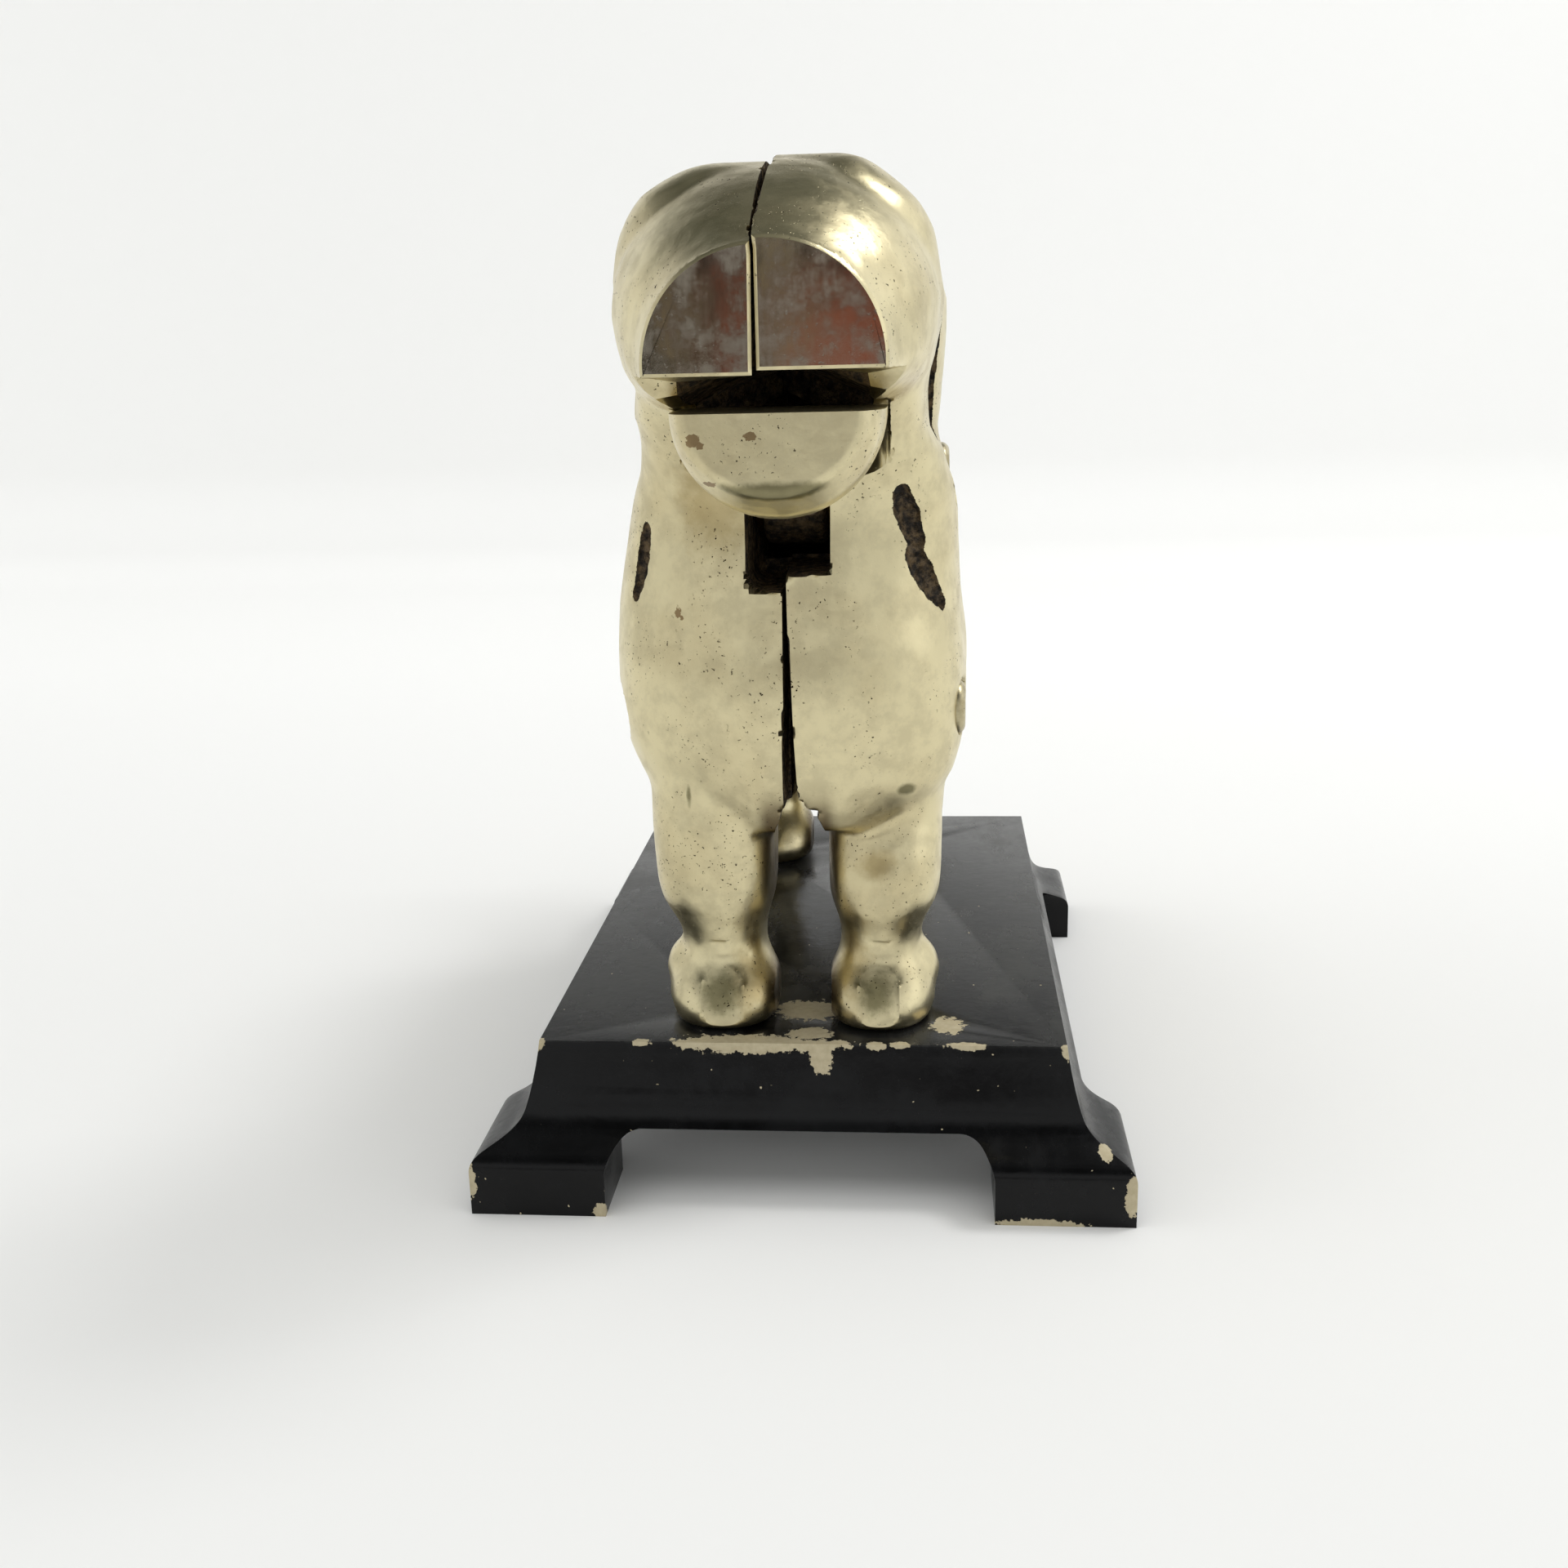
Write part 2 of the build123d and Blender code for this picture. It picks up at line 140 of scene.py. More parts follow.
def lacquer_material():
    """Black lacquer on cast iron: deep black and glossy on the skirt, dulled by handling on the deck, chipped
    to bare pale metal, so the eye sees soft smudges on the deck and hard-edged pale chips."""
    made, tree, where, shader = material("black_lacquer_on_cast_iron")
    smudges = add(tree, "MapRange", {0: grain(tree, where, 16.0, 3.0, 0.6), 1: 0.38, 2: 0.72}, **SMOOTH)
    streaks = grain(tree, where, 5.0, 4.0, 0.7, (1.0, 0.35, 1.0))
    smears = add(tree, "MapRange", {0: streaks, 1: 0.42, 2: 0.75}, **SMOOTH)
    worn = add(tree, "Math", {0: add(tree, "Math", {0: smudges, 1: smears}, **PLUS), 1: 0.5}, **TIMES)
    chipped_edge = [
        ((-33.2, DECK_FRONT, DECK_TOP), (0.9, 0.8, 1.4)),
        ((-20.0, DECK_FRONT, DECK_TOP), (1.3, 0.9, 0.6)),
        ((-13.8, DECK_FRONT, DECK_TOP), (2.4, 0.9, 0.8)),
        ((-6.5, DECK_FRONT, DECK_TOP), (9.0, 2.6, 1.3)),
        ((1.0, DECK_FRONT, DECK_TOP), (5.6, 1.3, 0.9)),
        ((2.6, DECK_FRONT - 0.4, DECK_TOP - 1.6), (1.5, 1.6, 2.3)),
        ((9.4, DECK_FRONT, DECK_TOP), (1.3, 0.9, 0.8)),
        ((12.4, DECK_FRONT, DECK_TOP), (1.2, 0.9, 0.5)),
        ((20.6, DECK_FRONT, DECK_TOP), (2.8, 0.9, 0.6)),
        ((33.2, DECK_FRONT, DECK_TOP), (0.9, 0.8, 1.8)),
    ]
    chipped_round_hooves = [
        ((0.4, DECK_FRONT + 10.5, DECK_TOP), (4.0, 3.2, 0.8)),
        ((1.2, DECK_FRONT + 3.2, DECK_TOP), (2.6, 1.8, 0.8)),
        ((18.4, DECK_FRONT + 6.0, DECK_TOP), (2.1, 2.6, 0.8)),
    ]
    chipped_feet = [
        ((29.0, -58.0, 0.0), (5.6, 1.2, 0.9)),
        ((40.6, -58.0, 4.2), (1.0, 1.2, 2.6)),
        ((-41.0, -58.0, 4.6), (0.8, 1.0, 2.4)),
        ((-24.6, -58.0, 0.6), (1.0, 1.2, 1.2)),
        ((37.4, -55.0, 9.0), (0.8, 1.4, 2.6)),
    ]
    chips = patches(tree, where, chipped_edge + chipped_round_hooves + chipped_feet, 1.7, 0.9)
    specks = add(tree, "MapRange", {0: grain(tree, where, 0.9, 1.0), 1: 0.79, 2: 0.82}, **SMOOTH)
    bare = add(tree, "Math", {0: chips, 1: specks}, **LARGER)
    scuffed = add(tree, "Math", {0: worn, 1: 0.5}, **TIMES)
    black = add(tree, "Mix", {0: scuffed, 6: linear(LACQUER), 7: linear(LACQUER_SCUFFED)}, **BLEND)
    level = add(tree, "SeparateXYZ", {0: where}, out=2)
    on_deck = add(tree, "MapRange", {0: level, 1: DECK_TOP - 0.3, 2: DECK_TOP - 0.05}, **SMOOTH)
    hazy = add(tree, "Math", {0: on_deck, 1: worn}, **TIMES)
    black = add(tree, "Mix", {0: hazy, 6: black, 7: linear(DECK_HAZE)}, **BLEND)
    dulled = grain(tree, where, 0.8, 3.0)
    metal = add(tree, "Mix", {0: dulled, 6: linear(BARE_METAL), 7: linear(BARE_METAL_DULL)}, **BLEND)
    tree.links.new(add(tree, "Mix", {0: bare, 6: black, 7: metal}, **BLEND), shader.inputs["Base Color"])
    tree.links.new(add(tree, "Math", {0: bare, 1: 0.3}, **TIMES), shader.inputs["Metallic"])
    shader.inputs["Specular IOR Level"].default_value = 0.2
    dull = add(tree, "MapRange", {0: worn, 3: 0.2, 4: 0.42})
    bare_rough = add(tree, "Math", {0: bare, 1: 0.46}, **TIMES)
    tree.links.new(add(tree, "Math", {0: dull, 1: bare_rough}, **LARGER), shader.inputs["Roughness"])
    orange_peel = add(tree, "Math", {0: grain(tree, where, 1.6, 2.0), 1: 0.05}, **TIMES)
    chip_depth = add(tree, "Math", {0: bare, 1: 0.12}, **TIMES)
    height = add(tree, "Math", {0: orange_peel, 1: chip_depth}, **MINUS)
    relief = add(tree, "Bump", {"Height": height, "Strength": 0.6, "Distance": MM})
    tree.links.new(relief, shader.inputs["Normal"])
    return made


def loose_copy(node):
    """The CAD node's surface as a mesh of its own, in millimetres, its triangles joined into flat faces."""
    bm = bmesh.new()
    bm.from_mesh(frame["nodes"][node].data)
    bmesh.ops.scale(bm, vec=(1 / MM,) * 3, verts=bm.verts)
    bmesh.ops.remove_doubles(bm, verts=bm.verts, dist=0.002)
    bmesh.ops.dissolve_limit(bm, angle_limit=math.radians(1.5), verts=bm.verts, edges=bm.edges)
    return bm


def finished(bm, name, body, slot, *surfaces):
    """The bmesh as a piece of the object: in metres, smooth but for its sharp edges, riding on its body."""
    bmesh.ops.scale(bm, vec=(MM,) * 3, verts=bm.verts)
    mesh = bpy.data.meshes.new(name)
    bm.to_mesh(mesh)
    bm.free()
    mesh.shade_smooth()
    mesh.set_sharp_from_angle(angle=math.radians(35))
    for surface in surfaces:
        mesh.materials.append(surface)
    piece = bpy.data.objects.new(name, mesh)
    bpy.context.scene.collection.objects.link(piece)
    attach(piece, body)
    return piece


plinth = loose_copy("plinth")
filed_edges = [e for e in plinth.edges if e.is_manifold and e.calc_face_angle(0.0) > math.radians(28)]
bmesh.ops.bevel(
    plinth, geom=filed_edges, offset=EDGE_WEAR, offset_type="OFFSET", affect="EDGES", segments=3, profile=0.5,
    material=-1, clamp_overlap=True,
)
plinth_casting = finished(plinth, "plinth_casting", "body", "black_lacquer", lacquer_material())
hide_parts("plinth")


# ---------------------------------------------------------------- The two body castings
# Two brass castings, left and right, cleaned up on a wheel and nickel plated, which meet on a plain seam. The
# muzzle is ground flat and polished in front; the slot between the halves and the mouth are left as cast.

CAST_GRAIN = 0.6
HEAD_HALF = 17.7
MOUTH_TOP = 101.7
MUZZLE_FRONT = -18.0
RIM = 0.35
RIM_RISE = 0.3
SATIN, POLISHED, AS_CAST = 0, 1, 2
SLOT_HALF = 4.7
LEFT_SETTLE = 0.994
FITTED_SEAM = 8.0
FITTED_AT = -0.85
PIN_HEAD = 1.2
PIN_HEAD_ROOM = 0.15
hinge = frame["joints"][0]["pos_m"]
PIVOT_STATION = hinge[1] / MM - DECK_FRONT
PIVOT_LEVEL = hinge[2] / MM

# The seam from the leg gap up to the crown, as (x, z): it opens a little at the chest's foot and the crown.
RIGHT_SEAM = [
    (0.4, 0), (0.4, 50), (0.0, 60), (-0.5, 78), (-1.3, 101), (-1.3, 113.4), (-1.6, 116), (-0.8, 123),
    (-0.7, 130),
]
LEFT_SEAM = [
    (-1.4, 0), (-1.4, 50), (-1.0, 60), (-0.8, 78), (-1.8, 101), (-1.6, 113.4), (-1.8, 116), (-1.6, 123),
    (-1.6, 130),
]

# How wide each level is against a symmetrical pattern, as (z, share).
LEFT_WIDTHS = [
    (20, 1.04), (46, 1.073), (56, 1.083), (66, 1.072), (74, 1.07), (82, 1.045), (90, 1.025), (94, 1.045),
    (96.5, 1.07), (100.5, 1.03), (103.5, 1.04), (108, 1.085), (112, 1.09), (115, 1.065), (118, 1.035),
    (121, 1.012), (124.5, 0.88),
]
RIGHT_WIDTHS = [
    (20, 1.0), (46, 0.995), (52, 1.028), (57, 0.995), (64, 0.958), (72, 0.94), (77, 0.952), (81, 0.97),
    (87, 1.008), (91.5, 1.01), (94.5, 0.955), (99, 0.948), (103, 0.965), (109, 1.0), (113, 0.965),
    (116, 0.94), (119, 0.89), (122, 0.8), (124.5, 0.75),
]

# Hollows that the casting left, as (across, level, radius): on the shoulders seen from in front, and along
# the crease behind each ear seen from its flank, where across is the station.
RIGHT_SHOULDER = [
    (13.0, 87.0, 1.2), (13.3, 85.6, 1.5), (13.9, 84.2, 1.6), (14.3, 82.8, 1.4), (14.9, 81.6, 1.1),
    (14.2, 80.0, 1.1), (14.9, 78.8, 1.5), (15.7, 77.4, 1.6), (16.4, 76.0, 1.4), (17.1, 74.8, 1.1),
    (17.7, 73.8, 0.8),
]
LEFT_SHOULDER = [
    (-17.4, 83.4, 0.9), (-17.7, 82.0, 1.2), (-18.0, 80.4, 1.3), (-18.3, 78.8, 1.3), (-18.7, 77.2, 1.1),
    (-19.2, 75.8, 0.9),
]
EAR_CREASE = [
    (13.4, 112.0, 0.6), (12.9, 110.8, 0.7), (12.4, 109.6, 0.9), (12.0, 108.2, 0.8), (11.6, 107.0, 1.0),
    (11.3, 105.6, 0.9), (11.0, 104.2, 1.1), (10.7, 102.8, 1.0), (10.4, 101.2, 1.3), (10.2, 99.6, 1.2),
    (10.1, 98.0, 1.4), (10.3, 96.4, 1.3), (10.5, 95.0, 1.3), (11.0, 93.6, 0.9),
]


def spot(x, station, z):
    """A point in millimetres; stations run back from the deck's front edge."""
    return Vector((x, DECK_FRONT + station, z))


def ball(bm, centre, radii, turn=(0, 0, 0)):
    """An ellipsoid mass, turned by degrees about its own centre."""
    spin = Euler([math.radians(a) for a in turn]).to_matrix().to_4x4()
    place = Matrix.Translation(spot(*centre)) @ spin @ Matrix.Diagonal((*radii, 1))
    bmesh.ops.create_uvsphere(bm, u_segments=48, v_segments=24, radius=1.0, matrix=place)


def edges_of(verts):
    """Each edge that meets these vertices, once, in a fixed order."""
    return list(dict.fromkeys(e for v in verts for e in v.link_edges))


def block(bm, low, high, rounding=0.0):
    """A box between two corners, with all its edges rounded."""
    low, high = spot(*low), spot(*high)
    place = Matrix.Translation((low + high) / 2) @ Matrix.Diagonal((*(high - low), 1))
    made = bmesh.ops.create_cube(bm, size=1.0, matrix=place)
    if rounding:
        bmesh.ops.bevel(
            bm, geom=edges_of(made["verts"]), offset=rounding, offset_type="OFFSET", affect="EDGES",
            segments=8, profile=0.5, material=-1,
        )


def smooth_run(rings, steps):
    """Rings with more between them, on a Catmull-Rom curve through every value."""
    run = []
    last = len(rings) - 1
    for i in range(last):
        around = [rings[max(0, min(last, i + k))] for k in (-1, 0, 1, 2)]
        for step in range(steps):
            t = step / steps
            run.append([
                0.5 * (2 * b + (c - a) * t
                       + (2 * a - 5 * b + 4 * c - d) * t**2
                       + (3 * b - a - 3 * c + d) * t**3)
                for a, b, c, d in zip(*around)
            ])
    return run + [list(rings[-1])]


def lofted(bm, rings, lying=False, below=1.0):
    """A mass through rings of (level, centre x, centre across, half width, half depth, squareness). A
    standing mass climbs through levels and its rings lie flat; a lying one runs back through stations, its
    rings stand up, and their lower halves are as deep as their upper halves times below."""
    loops = []
    for level, x, across, half_width, half_depth, square in smooth_run(rings, 5):
        made = bmesh.ops.create_circle(bm, cap_ends=False, segments=64, radius=1.0)["verts"]
        for v in made:
            v.co.x = math.copysign(abs(v.co.x) ** square, v.co.x)
            v.co.y = math.copysign(abs(v.co.y) ** square, v.co.y) * (below if v.co.y < 0 else 1.0)
        if lying:
            place = Matrix.Translation(spot(x, level, across)) @ Matrix.Rotation(math.radians(90), 4, "X")
        else:
            place = Matrix.Translation(spot(x, across, level))
        bmesh.ops.transform(bm, matrix=place @ Matrix.Diagonal((half_width, half_depth, 1, 1)), verts=made)
        loops.append(edges_of(made))
    for lower, upper in zip(loops, loops[1:]):
        bmesh.ops.bridge_loops(bm, edges=lower + upper)
    bmesh.ops.holes_fill(bm, edges=loops[0] + loops[-1], sides=0)


def swept(bm, line):
    """A round bar bent in the median plane, through points of (station, level, radius), with a round end."""
    loops = []
    for i, (station, z, radius) in enumerate(line):
        before, after = line[max(0, i - 1)], line[min(len(line) - 1, i + 1)]
        lean = math.atan2(before[0] - after[0], after[1] - before[1])
        place = Matrix.Translation(spot(0, station, z)) @ Matrix.Rotation(lean, 4, "X")
        made = bmesh.ops.create_circle(bm, cap_ends=False, segments=40, radius=radius, matrix=place)
        loops.append(edges_of(made["verts"]))
    for lower, upper in zip(loops, loops[1:]):
        bmesh.ops.bridge_loops(bm, edges=lower + upper)
    bmesh.ops.holes_fill(bm, edges=loops[0] + loops[-1], sides=0)
    ball(bm, (0, *line[-1][:2]), (line[-1][2],) * 3)


def both_sides(bm, centre, radii, turn=(0, 0, 0)):
    """The same ellipsoid mass on both sides of the median plane."""
    x, station, z = centre
    lean, roll, twist = turn
    ball(bm, centre, radii, turn)
    ball(bm, (-x, station, z), radii, (lean, -roll, -twist))


def legs(bm):
    """Four legs with hoof-like feet, slim pasterns and straight shanks; the right front one is set back."""
    for side in (-1, 1):
        set_back = 0.8 + 0.8 * side
        lofted(
            bm,
            [
                (DECK_TOP, 9.8 * side, 11.2, 6.2, 7.6, 0.85),
                (22.4, 9.8 * side, 11.0, 7.1, 8.6, 0.9),
                (25.4, 9.8 * side, 11.6, 6.7, 7.8, 0.95),
                (28.6, 9.9 * side, 12.8, 5.3, 6.4, 0.95),
                (32.0, 10.0 * side, 13.0, 5.4, 6.8, 0.9),
                (36.5, 10.4 * side, 12.9, 7.0, 8.2, 0.85),
                (42.0, 10.4 * side, 13.0 + 0.4 * set_back, 7.4, 9.2 - 0.4 * set_back, 0.85),
                (47.0, 10.4 * side, 13.6 + set_back, 7.5, 10.0 - set_back, 0.85),
                (53.0, 10.2 * side, 14.4 + set_back, 7.6, 10.8 - set_back, 0.85),
            ],
        )
        lofted(
            bm,
            [
                (DECK_TOP, 9.8 * side, 79.2, 6.2, 7.6, 0.85),
                (22.4, 9.8 * side, 79.0, 7.1, 8.6, 0.9),
                (25.4, 9.8 * side, 79.8, 6.7, 7.8, 0.95),
                (28.6, 9.9 * side, 81.2, 5.3, 6.4, 0.95),
                (32.5, 10.0 * side, 81.0, 5.5, 6.7, 0.9),
                (38.0, 10.3 * side, 79.0, 6.9, 8.6, 0.85),
                (45.0, 10.4 * side, 77.0, 7.6, 11.6, 0.85),
                (54.0, 10.2 * side, 75.6, 8.0, 13.6, 0.85),
            ],
        )
    both_sides(bm, (13.6, 13.0, 25.4), (3.9, 4.6, 4.4))
    both_sides(bm, (13.6, 81.0, 25.4), (3.9, 4.6, 4.4))


def animal_masses():
    """Every swelling of the figure as an overlapping closed mass."""
    bm = bmesh.new()
    block(bm, (-HEAD_HALF - 0.2, -5.0, 97.0), (HEAD_HALF + 0.2, 26.5, 124.3), 9.4)
    lofted(
        bm,
        [
            (MUZZLE_FRONT - 3.0, -0.6, 101.9, 12.4, 12.4, 0.97),
            (MUZZLE_FRONT, -0.6, 102.1, 12.6, 12.5, 0.97),
            (-14.0, -0.5, 103.2, 13.9, 13.7, 0.95),
            (-10.0, -0.3, 104.2, 15.6, 15.1, 0.9),
            (-5.0, 0, 104.8, 16.9, 17.0, 0.82),
            (0.0, 0, 105.0, 17.5, 18.5, 0.75),
            (6.0, 0, 105.0, 17.6, 18.9, 0.7),
        ],
        lying=True,
        below=0.5,
    )
    lofted(
        bm,
        [
            (46.0, 0, 14.4, 15.0, 10.0, 0.9),
            (51.0, 0, 15.2, 18.2, 13.2, 0.85),
            (58.0, 0, 17.0, 20.9, 17.0, 0.85),
            (66.0, 0, 18.2, 21.7, 18.9, 0.85),
            (74.0, 0, 18.4, 21.3, 18.0, 0.85),
            (81.0, 0, 17.6, 20.4, 16.2, 0.8),
            (87.0, 0, 16.4, 19.3, 15.0, 0.72),
            (91.0, 0, 14.6, 17.9, 15.2, 0.66),
            (95.0, 0, 12.6, 17.0, 15.6, 0.6),
            (99.0, 0, 11.2, 16.9, 17.0, 0.55),
            (103.0, 0, 10.8, 17.0, 17.4, 0.55),
            (109.0, 0, 12.0, 15.0, 14.0, 0.7),
        ],
    )
    lofted(
        bm,
        [
            (8.0, 0, 70.0, 15.0, 18.0, 0.9),
            (18.0, 0, 72.0, 20.6, 24.0, 0.85),
            (34.0, 0, 72.6, 20.8, 26.6, 0.8),
            (54.0, 0, 72.6, 19.8, 26.2, 0.8),
            (70.0, 0, 72.8, 20.6, 26.6, 0.85),
            (82.0, 0, 71.6, 19.4, 25.6, 0.85),
            (90.0, 0, 70.6, 14.0, 20.0, 0.9),
            (94.5, 0, 70.0, 6.0, 10.0, 1.0),
        ],
        lying=True,
    )
    legs(bm)
    both_sides(bm, (10.6, 20.0, 66.0), (11.4, 13.0, 19.5), (0, 4, 0))
    both_sides(bm, (10.8, 74.0, 66.0), (11.0, 16.5, 21.0), (8, 4, 0))
    both_sides(bm, (15.4, 17.0, 104.5), (3.3, 7.4, 13.4), (-10, -3, 0))
    return bm


def sculpted(bm, name, voxel, passes):
    """The masses melted into one closed skin: remeshed at an even grain and smoothed, as a bmesh again."""
    mesh = bpy.data.meshes.new(name)
    bm.to_mesh(mesh)
    bm.free()
    clay = bpy.data.objects.new(name, mesh)
    bpy.context.scene.collection.objects.link(clay)
    melt = clay.modifiers.new("melt", "REMESH")
    melt.mode = "VOXEL"
    melt.voxel_size = voxel
    ease = clay.modifiers.new("ease", "SMOOTH")
    ease.factor = 0.5
    ease.iterations = passes
    made = bmesh.new()
    made.from_object(clay, bpy.context.evaluated_depsgraph_get())
    bpy.data.objects.remove(clay)
    bpy.data.meshes.remove(mesh)
    return made


def combined(bm, operation, *tools):
    """bm with each closed tool taken away or joined on, in turn. The tools are used up."""
    for tool in tools:
        bmesh.ops.recalc_face_normals(tool, faces=tool.faces)
        pieces = []
        for shape in (bm, tool):
            if shape.calc_volume(signed=True) < 0:
                bmesh.ops.reverse_faces(shape, faces=shape.faces)
            mesh = bpy.data.meshes.new("at_work")
            for _ in (SATIN, POLISHED, AS_CAST):
                mesh.materials.append(None)
            shape.to_mesh(mesh)
            shape.free()
            piece = bpy.data.objects.new("at_work", mesh)
            bpy.context.scene.collection.objects.link(piece)
            pieces.append(piece)
        change = pieces[0].modifiers.new("change", "BOOLEAN")
        change.operation = operation
        change.solver = "MANIFOLD"
        change.object = pieces[1]
        bm = bmesh.new()
        bm.from_object(pieces[0], bpy.context.evaluated_depsgraph_get())
        for piece in pieces:
            mesh = piece.data
            bpy.data.objects.remove(piece)
            bpy.data.meshes.remove(mesh)
    return bm


def shaped(maker, *args, surface=SATIN, **settings):
    """A new bmesh that holds one mass; what it cuts is left with the given surface."""
    bm = bmesh.new()
    maker(bm, *args, **settings)
    for face in bm.faces:
        face.material_index = surface
    return bm


def rod(bm, radius, x0, x1, station, z):
    """A cylinder across the figure."""
    place = Matrix.Translation(spot((x0 + x1) / 2, station, z)) @ Matrix.Rotation(math.radians(90), 4, "Y")
    bmesh.ops.create_cone(
        bm, cap_ends=True, segments=64, radius1=radius, radius2=radius, depth=x1 - x0, matrix=place
    )


def prism(bm, corners, along):
    """A closed outline of corners made a solid by drawing it out along a vector."""
    face = bm.faces.new([bm.verts.new(corner) for corner in corners])
    grown = bmesh.ops.extrude_face_region(bm, geom=[face])["geom"]
    bmesh.ops.translate(bm, vec=along, verts=[g for g in grown if isinstance(g, bmesh.types.BMVert)])


def beyond_seam(bm, seam, side, start, length):
    """The space on one side of a seam line, from one station back."""
    edge = [spot(x, start, z) for x, z in seam]
    far = [spot(60 * side, start, seam[-1][1]), spot(60 * side, start, seam[0][1])]
    prism(bm, edge + far, (0, length, 0))


def ground_facet(bm, station, turn, seam_side):
    """The flat that the wheel leaves on the muzzle's front, turned a little about the seam."""
    low, high = spot(-40, station - 40, 90), spot(40, station, 130)
    place = (
        Matrix.Translation(spot(0, station, 0))
        @ Matrix.Rotation(math.radians(turn * seam_side), 4, "Z")
        @ Matrix.Translation(-spot(0, station, 0))
        @ Matrix.Translation((low + high) / 2)
        @ Matrix.Diagonal((*(high - low), 1))
    )
    bmesh.ops.create_cube(bm, size=1.0, matrix=place)


def share_at(level, table):
    """A value between the (level, value) rows of a table."""
    for (low, first), (high, second) in zip(table, table[1:]):
        if level <= high:
            return first + (second - first) * max(0.0, (level - low) / (high - low))
    return table[-1][1]


def handmade(bm):
    """The pattern was carved by eye, so each level differs in width left and right; the muzzle is true."""
    for v in bm.verts:
        wide = share_at(v.co.z, LEFT_WIDTHS if v.co.x < 0 else RIGHT_WIDTHS)
        behind_muzzle = min(1.0, max(0.0, (v.co.y - DECK_FRONT + 14.0) / 10.0))
        v.co.x *= 1 + (wide - 1) * behind_muzzle


def worn_edges(bm, passes, keep):
    """Sharp edges eased by handling: all but those to keep settle towards their neighbours."""
    for _ in range(passes):
        sharp = [e for e in bm.edges if e.is_manifold and e.calc_face_angle(0.0) > math.radians(38)]
        verts = list(dict.fromkeys(v for e in sharp for v in e.verts if not keep(v.co)))
        bmesh.ops.smooth_vert(bm, verts=verts, factor=0.5, use_axis_x=True, use_axis_y=True, use_axis_z=True)


def polished_facet(bm, facing, keep):
    """The flats that face one way get a narrow bright rim and their own polished surface."""
    flats = [f for f in bm.faces if f.normal.dot(facing) > 0.995 and keep(f.calc_center_median())]
    bmesh.ops.inset_region(
        bm, faces=flats, thickness=RIM, depth=RIM_RISE, use_even_offset=True, use_boundary=True
    )
    for face in flats:
        face.material_index = POLISHED


def in_front_of_muzzle(co):
    """The ground flats on the muzzle and their rims."""
    return co.y < DECK_FRONT + MUZZLE_FRONT + 1.2


def kept_sharp(co):
    """The ground flats, and the seam where the halves are fitted to each other."""
    return in_front_of_muzzle(co) or (abs(co.x - FITTED_AT) < 0.6 and co.y > DECK_FRONT + FITTED_SEAM - 0.5)


def pitted(bm, skin, pits, from_side=0):
    """A run of overlapping pits, each (across, level, radius), sunk from in front or from one flank."""
    for across, z, radius in pits:
        if from_side:
            start, way = spot(60 * from_side, across, z), Vector((-from_side, 0, 0))
        else:
            start, way = spot(across, -80, z), Vector((0, 1, 0))
        at = skin.ray_cast(start, way)[0]
        place = Matrix.Translation(at) @ Matrix.Diagonal((radius, radius, 1.25 * radius, 1))
        bmesh.ops.create_icosphere(bm, subdivisions=3, radius=1.0, matrix=place)


clay = sculpted(animal_masses(), "animal_clay", CAST_GRAIN, 14)
handmade(clay)
swing_space = [(12, 79.9), (62, 66.6), (110, 63.6), (110, 125), (82, 104), (62, 96.4), (12, 96.7)]
throat = [
    (-60, MOUTH_TOP), (-12.0, MOUTH_TOP), (-11.2, 99.4), (-9.0, 98.3), (-4.8, 97.6), (-2.7, 94.2),
    (0.0, 90.0), (1.3, 85.0), (1.3, 79.0), (-60, 79.0),
]
leg_gap = [(-3.5, 0), (-3.5, 44.5), (-1.6, 49.4), (0.4, 50.6), (2.2, 49.0), (3.5, 46.0), (3.5, 0)]
hoof_front = [(-8, 19), (2.5, 19), (3.2, 22.0), (6.6, 29.2), (6.6, 31), (-8, 31)]
swing_outline = [spot(-SLOT_HALF, station, z) for station, z in swing_space]
casting = combined(
    clay,
    "DIFFERENCE",
    shaped(prism, [spot(-30, station, z) for station, z in throat], (60, 0, 0)),
    shaped(block, (-11.8, -30, 83.4), (11.8, 0.9, 98.3), 0.5),
    shaped(block, (-9.3, -12.2, 92.5), (9.0, 9.0, MOUTH_TOP + 0.02), surface=AS_CAST),
    shaped(rod, 8.5, -SLOT_HALF, SLOT_HALF, PIVOT_STATION, PIVOT_LEVEL, surface=AS_CAST),
    shaped(prism, swing_outline, (2 * SLOT_HALF, 0, 0), surface=AS_CAST),
    shaped(prism, [spot(x, -30, z) for x, z in leg_gap], (0, 150, 0)),
    shaped(prism, [spot(-12.4, station, z) for station, z in hoof_front], (4.8, 0, 0)),
    shaped(prism, [spot(7.4, station, z) for station, z in hoof_front], (4.8, 0, 0)),
    shaped(block, (-60, -60, 0), (60, 160, DECK_TOP)),
)
for name in ("pivot_pin", "chest_rivet", "belly_rivet", "haunch_rivet"):
    low, high = [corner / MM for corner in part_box(name)]
    radius = (high.z - low.z) / 2 + PIN_HEAD_ROOM
    station, level = (low.y + high.y) / 2 - DECK_FRONT, (low.z + high.z) / 2
    for near, far in ((high.x - PIN_HEAD, 40), (-40, low.x + PIN_HEAD)):
        casting = combined(casting, "DIFFERENCE", shaped(rod, radius, near, far, station, level))
skin = BVHTree.FromBMesh(casting)
halves = {}
